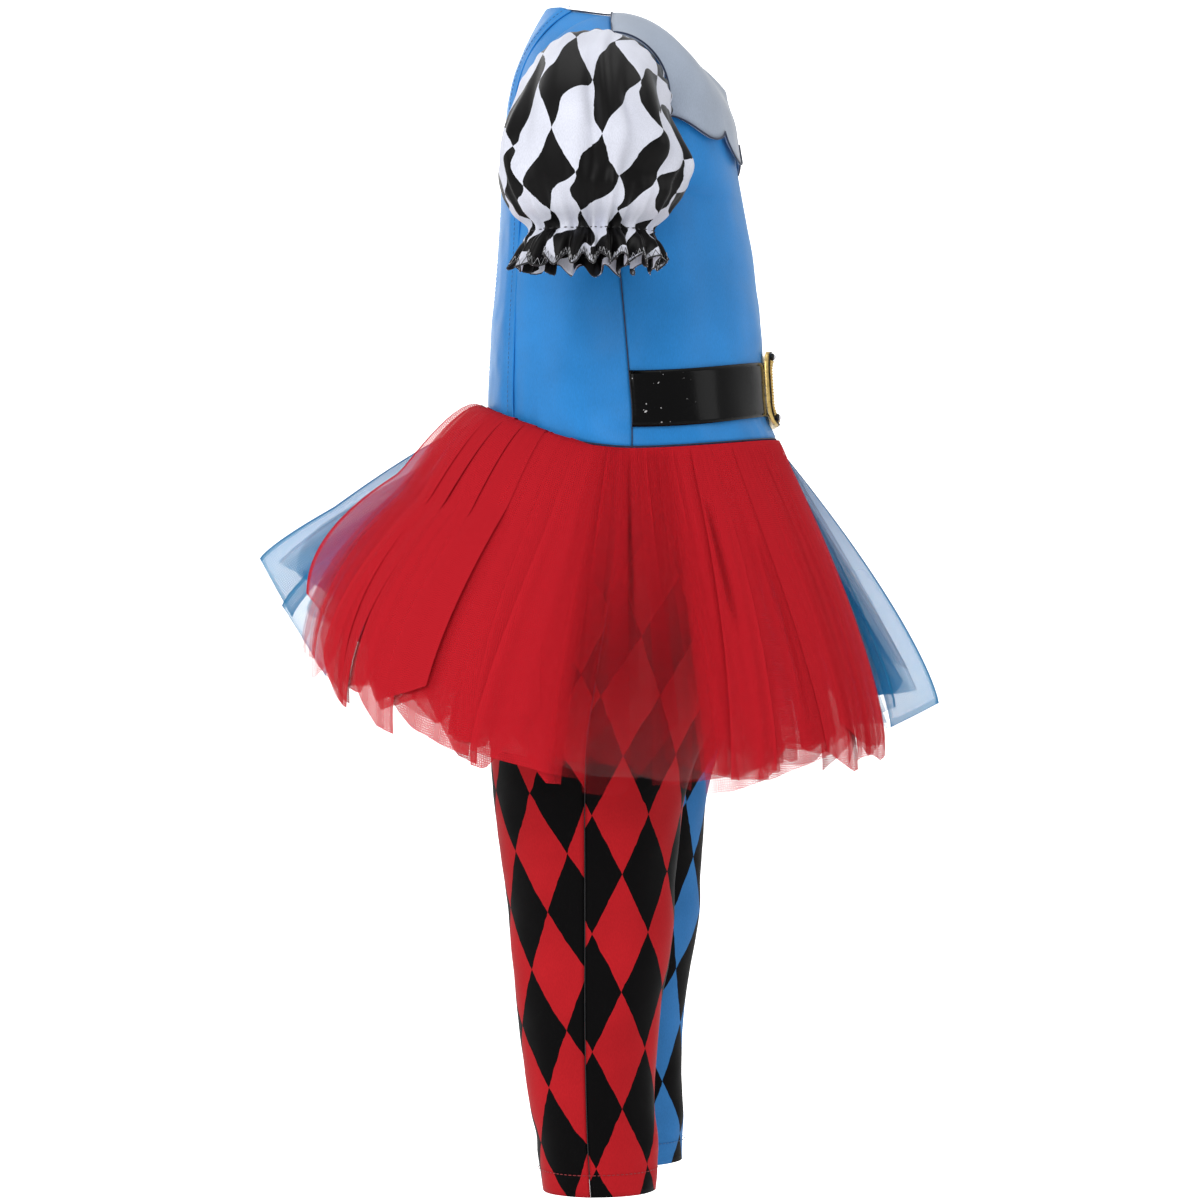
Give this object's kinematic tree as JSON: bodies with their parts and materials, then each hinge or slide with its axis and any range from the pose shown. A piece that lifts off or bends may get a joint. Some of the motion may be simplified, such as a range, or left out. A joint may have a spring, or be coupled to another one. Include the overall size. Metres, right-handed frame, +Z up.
{
  "type": "baby costume",
  "caption": "Worn all-in-one baby costume: satin bodice with scalloped collar and puff sleeves, belt with buckle, two-colour tulle skirt and diamond leggings.",
  "frame": {"origin": "centre of the neck opening, level with the points where the shoulder seams meet the neckline", "axes": "+Z up as worn, -Y towards the wearer's front, -X towards the wearer's right"},
  "size_m": [0.3823, 0.3634, 0.6083],
  "materials": {
    "blue_satin": "blue satin with a soft sheen",
    "white_satin": "white satin with a dark blue edge",
    "black_vinyl": "glossy black vinyl with a few worn specks",
    "gold_beads": "gold coloured frame set with small beads",
    "sleeve_satin": "satin in black and white diamonds",
    "red_tulle": "sheer red net",
    "blue_tulle": "sheer blue net",
    "pale_tulle": "sheer pale grey net",
    "red_knit": "stretch satin in red and black diamonds",
    "blue_knit": "stretch satin in blue and black diamonds"
  },
  "bodies": {
    "root": {"bodice_front": "blue_satin", "bodice_back_right": "blue_satin", "bodice_back_left": "blue_satin", "back_placket": "blue_satin", "collar": "white_satin", "belt": "black_vinyl", "buckle": "gold_beads", "sleeve_right": "sleeve_satin", "sleeve_left": "sleeve_satin", "skirt_right_outer": "red_tulle", "skirt_right_under": "red_tulle", "skirt_left_outer": "blue_tulle", "skirt_left_under": "blue_tulle", "skirt_petticoat": "pale_tulle", "leg_right_front": "red_knit", "leg_right_back": "red_knit", "leg_left_front": "blue_knit", "leg_left_back": "blue_knit"}
  },
  "joints": []
}
